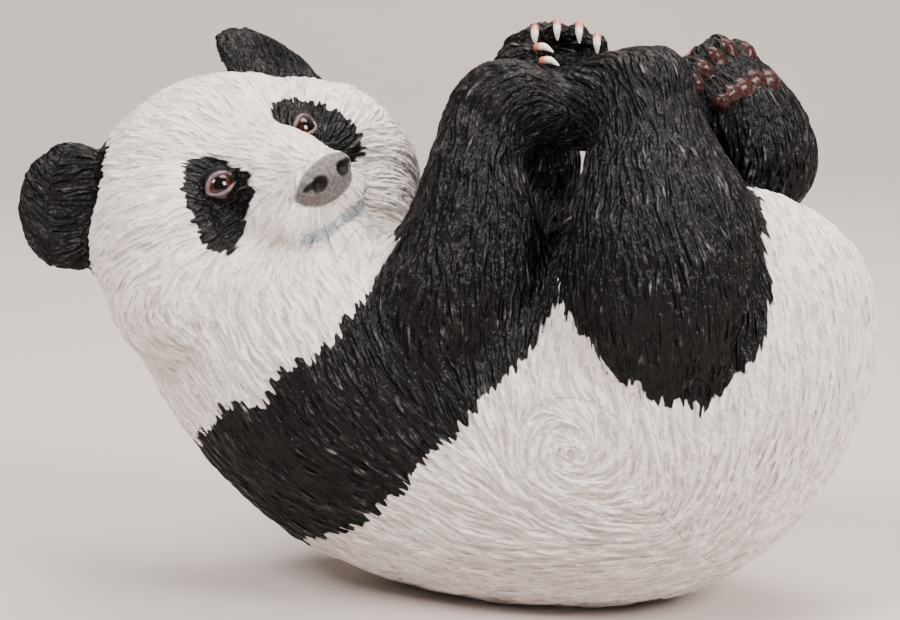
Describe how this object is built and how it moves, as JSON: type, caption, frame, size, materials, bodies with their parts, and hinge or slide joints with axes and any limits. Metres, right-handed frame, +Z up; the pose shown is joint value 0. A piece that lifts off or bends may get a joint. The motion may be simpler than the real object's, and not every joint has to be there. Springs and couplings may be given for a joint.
{
  "type": "panda figurine",
  "caption": "Cast figurine of a giant panda lying on its back, head turned to its right, holding one hind foot up with both forepaws.",
  "frame": {"origin": "centre of the bounding box, on the table under the ground spot", "axes": "+X from the head to the rump, +Y to the panda's left, +Z up"},
  "size_m": [0.2038, 0.0918, 0.1388],
  "materials": {
    "white_fur": "painted resin, satin",
    "black_fur": "painted resin, satin, dry-brushed",
    "claws": "painted resin, satin",
    "skin": "painted resin, satin",
    "eyes": "painted and glossed"
  },
  "bodies": {
    "root": {"panda": "white_fur"}
  },
  "joints": []
}
